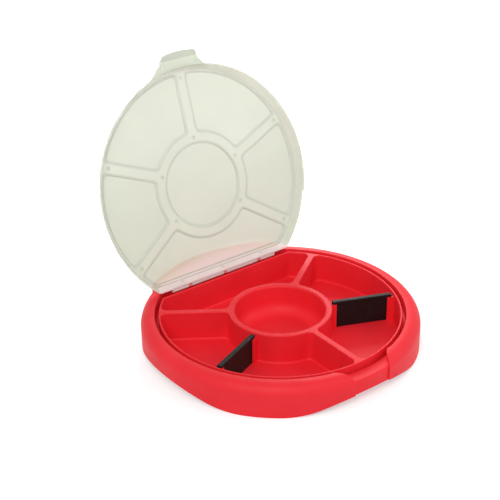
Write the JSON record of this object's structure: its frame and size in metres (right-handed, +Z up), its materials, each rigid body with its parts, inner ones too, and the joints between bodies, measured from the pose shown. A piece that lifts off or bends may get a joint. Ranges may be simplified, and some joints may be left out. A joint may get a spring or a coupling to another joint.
{
  "type": "tool storage caddy",
  "caption": "Round hardware tray with a centre cup, fixed walls and lift-out dividers under a translucent hinged lid with a latch tab.",
  "frame": {"origin": "on the ground under the middle of the tray", "axes": "+Z up, -Y towards the latch tab, +Y towards the hinge"},
  "size_m": [0.264, 0.2897, 0.2442],
  "materials": {
    "tray": "satin moulded polypropylene",
    "lid": "frosted translucent polypropylene",
    "divider": "satin black moulded plastic"
  },
  "bodies": {
    "tray": {"tray": "tray"},
    "lid": {"lid": "lid"},
    "divider_right": {"divider_right": "divider"},
    "divider_left": {"divider_left": "divider"}
  },
  "joints": [
    {"name": "lid_hinge", "type": "hinge", "parent": "tray", "child": "lid", "pos_m": [0, 0.09045, 0.03095], "axis": [1, 0, 0], "range_deg": [0, 107.5]},
    {"name": "divider_right_lift", "type": "slide", "parent": "tray", "child": "divider_right", "axis": [0, 0, 1], "range_m": [0, 0.045]},
    {"name": "divider_left_lift", "type": "slide", "parent": "tray", "child": "divider_left", "axis": [0, 0, 1], "range_m": [0, 0.045]}
  ]
}
